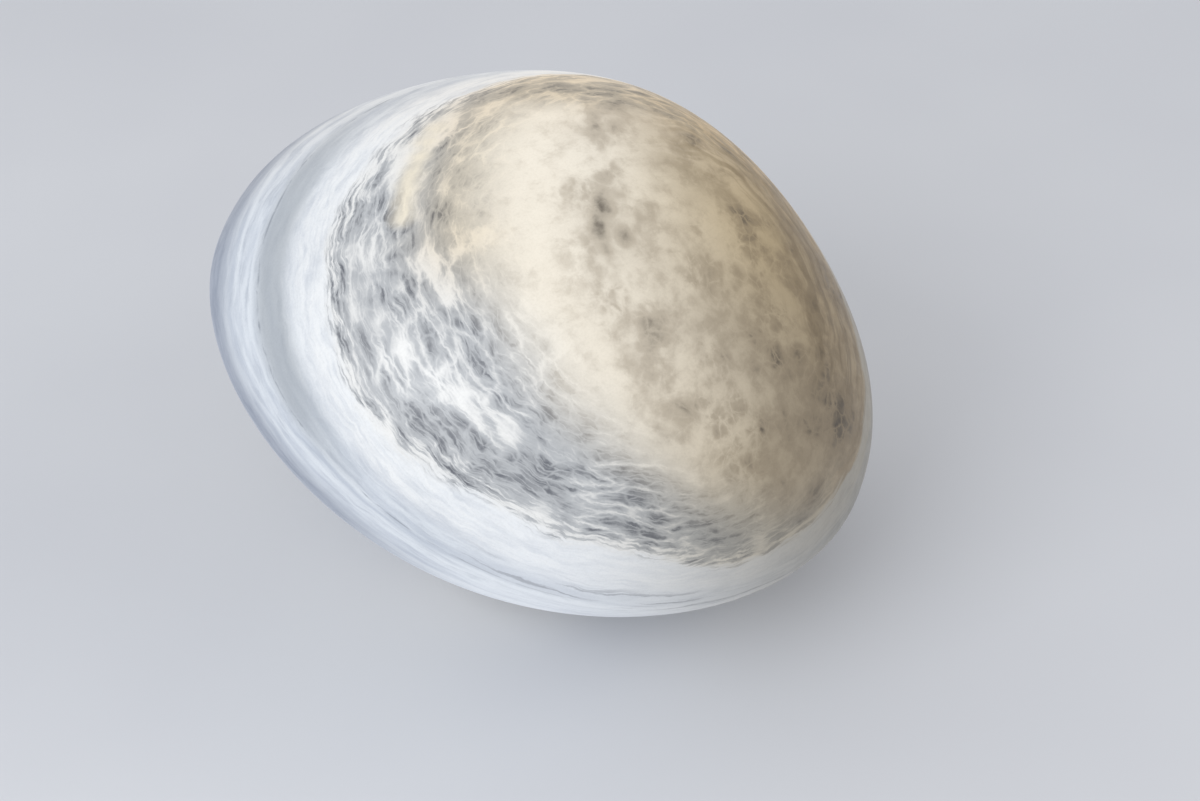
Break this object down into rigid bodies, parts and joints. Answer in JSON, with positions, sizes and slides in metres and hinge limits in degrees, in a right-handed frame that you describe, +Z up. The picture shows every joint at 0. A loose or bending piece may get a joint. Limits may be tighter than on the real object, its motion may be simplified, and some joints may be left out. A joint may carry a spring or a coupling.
{
  "type": "stone table lamp",
  "caption": "Hollow leaning egg of veined marble that glows from a globe bulb inside and lifts off a low plinth.",
  "frame": {"origin": "centre of the round plinth, on the surface that the lamp stands on", "axes": "+Z up; the stone leans towards +X, its low side, where the cable inlet is; it is the same on both sides of the XZ plane"},
  "size_m": [0.3189, 0.342, 0.2597],
  "materials": {
    "marble": "honed, lit from inside",
    "seat_rubber": "matt",
    "dark_powder_coat": "fine textured powder coat",
    "zinc_steel": "zinc plated",
    "pad_felt": "pressed felt",
    "black_nylon": "moulded",
    "black_bakelite": "moulded, half gloss",
    "porcelain": "glazed",
    "brass": "plain",
    "nickel": "nickel plated",
    "block_plastic": "moulded",
    "lead_brown": "insulation",
    "lead_blue": "insulation",
    "lead_green_yellow": "striped insulation",
    "solder": "solder",
    "black_glass": "gloss",
    "bulb_white": "satin",
    "opal_diffuser": "opal, lit",
    "white_board": "white solder mask",
    "led_phosphor": "phosphor",
    "green_board": "green solder mask"
  },
  "bodies": {
    "base": {"seat_ring": "seat_rubber", "plinth": "dark_powder_coat", "bottom_cover": "zinc_steel", "base_pad": "pad_felt", "cover_pillars": "zinc_steel", "cover_screws": "zinc_steel", "cable_inlet": "black_nylon", "threaded_tube": "zinc_steel", "lock_washer": "zinc_steel", "tube_nut": "zinc_steel", "holder_cap": "black_bakelite", "holder_insert": "porcelain", "holder_skirt": "black_bakelite", "holder_terminals": "brass", "centre_contact": "brass", "thread_shell": "nickel", "terminal_block": "block_plastic", "terminal_clamps": "brass", "terminal_screws": "zinc_steel", "block_screws": "zinc_steel", "live_lead": "lead_brown", "neutral_lead": "lead_blue", "earth_lead": "lead_green_yellow", "earth_tag": "brass", "earth_screw": "zinc_steel"},
    "stone": {"stone_shell": "marble"},
    "bulb_lift": {"bulb_eyelet": "solder"},
    "bulb": {"bulb_insulator": "black_glass", "bulb_screw_shell": "nickel", "bulb_housing": "bulb_white", "bulb_diffuser": "opal_diffuser", "led_board": "white_board", "led_chips": "led_phosphor", "driver_board": "green_board"}
  },
  "joints": [
    {"name": "stone_lift", "type": "slide", "parent": "base", "child": "stone", "axis": [0, 0, 1], "range_m": [0, 0.18]},
    {"name": "bulb_rise", "type": "slide", "parent": "base", "child": "bulb_lift", "axis": [0, 0, 1], "range_m": [0, 0.0165]},
    {"name": "bulb_turn", "type": "hinge", "parent": "bulb_lift", "child": "bulb", "pos_m": [0, 0, 0.1], "axis": [0, 0, 1], "range_deg": [0, 1620]}
  ],
  "couplings": [
    {"joint": "bulb_rise", "follows": "bulb_turn", "m_per_rad": 0.00057773}
  ]
}
